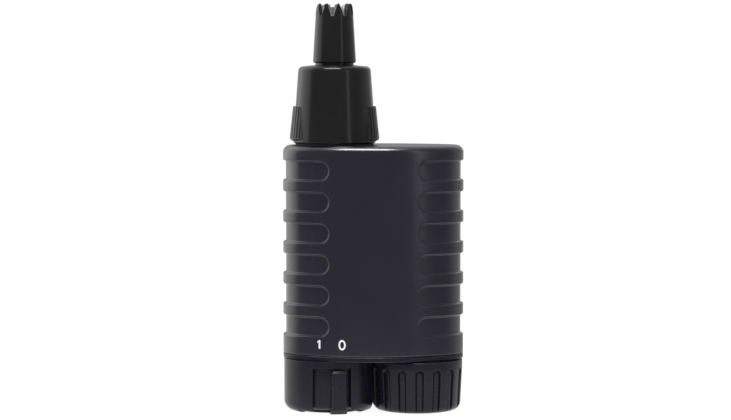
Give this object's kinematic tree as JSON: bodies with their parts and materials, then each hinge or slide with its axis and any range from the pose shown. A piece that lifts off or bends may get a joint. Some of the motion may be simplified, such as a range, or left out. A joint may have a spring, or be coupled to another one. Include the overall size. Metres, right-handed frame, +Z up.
{
  "type": "nose hair trimmer",
  "caption": "Slim oval battery trimmer with a ribbed grip body, offset screw-on cutting head with toothed nozzle, rotary thumb switch and fluted round battery cap.",
  "frame": {"origin": "middle of the base, in the plane the trimmer stands on", "axes": "+Z up along the body towards the cutting head, front with the switch towards -Y, +X towards the battery cap"},
  "size_m": [0.048, 0.028, 0.108],
  "materials": {
    "body_plastic": "satin moulded, bluish black",
    "gloss_plastic": "polished moulded, black",
    "inner_plastic": "natural moulded",
    "acetal": "smooth, slippery",
    "seal_rubber": "matt",
    "blade_steel": "ground",
    "plated_steel": "nickel plated",
    "contact_brass": "bright",
    "magnet": "sintered ferrite",
    "winding": "enamelled copper on laminations",
    "cell_jacket": "gloss film",
    "wire_sleeve": "smooth"
  },
  "bodies": {
    "housing": {"body_shell": "body_plastic", "base_housing": "body_plastic", "base_gasket": "seal_rubber", "base_screws": "plated_steel", "neck_gasket": "seal_rubber", "cap_gasket": "seal_rubber", "chassis": "inner_plastic", "motor_can": "plated_steel", "motor_magnets": "magnet", "motor_end_cap": "inner_plastic", "motor_terminals": "contact_brass", "shaft_seal": "seal_rubber", "aa_cell": "cell_jacket", "positive_contact": "contact_brass", "negative_strip": "contact_brass", "switch_contact": "contact_brass", "motor_leads": "wire_sleeve"},
    "rotor": {"motor_shaft": "blade_steel", "armature": "winding", "drive_coupler": "acetal"},
    "switch": {"switch_knob": "body_plastic", "switch_oring": "seal_rubber", "switch_wiper": "contact_brass", "switch_screw": "plated_steel"},
    "cap_contact": {"contact_plate": "plated_steel", "contact_spring": "plated_steel"},
    "cap": {"battery_cap": "body_plastic"},
    "head_bush": {"stem_bush": "acetal"},
    "cutting_head": {"head_collar": "gloss_plastic", "blade_guard": "gloss_plastic", "fixed_blade": "blade_steel", "bush_retainer": "plated_steel"},
    "cutter": {"blade_stem": "acetal", "inner_blade": "blade_steel", "blade_spring": "plated_steel"}
  },
  "joints": [
    {"name": "motor_spin", "type": "hinge", "parent": "housing", "child": "rotor", "pos_m": [-0.0103, 0, 0.06], "axis": [0, 0, 1], "continuous": true},
    {"name": "switch_turn", "type": "hinge", "parent": "housing", "child": "switch", "pos_m": [-0.0115, 0, 0.008], "axis": [0, 0, -1], "range_deg": [0, 21]},
    {"name": "cap_drop", "type": "slide", "parent": "housing", "child": "cap_contact", "axis": [0, 0, -1], "range_m": [0, 0.016]},
    {"name": "cap_turn", "type": "hinge", "parent": "cap_contact", "child": "cap", "pos_m": [0.0115, 0, 0.008], "axis": [0, 0, -1], "range_deg": [0, 360]},
    {"name": "head_rise", "type": "slide", "parent": "housing", "child": "head_bush", "axis": [0, 0, 1], "range_m": [0, 0.012]},
    {"name": "head_turn", "type": "hinge", "parent": "head_bush", "child": "cutting_head", "pos_m": [-0.0103, 0, 0.08], "axis": [0, 0, 1], "range_deg": [0, 360]},
    {"name": "blade_spin", "type": "hinge", "parent": "head_bush", "child": "cutter", "pos_m": [-0.0103, 0, 0.09], "axis": [0, 0, 1], "continuous": true}
  ],
  "couplings": [
    {"joint": "cap_drop", "follows": "cap_turn", "m_per_rad": 0.0025465},
    {"joint": "head_rise", "follows": "head_turn", "m_per_rad": 0.0019099},
    {"joint": "blade_spin", "follows": "motor_spin", "ratio": 1}
  ]
}
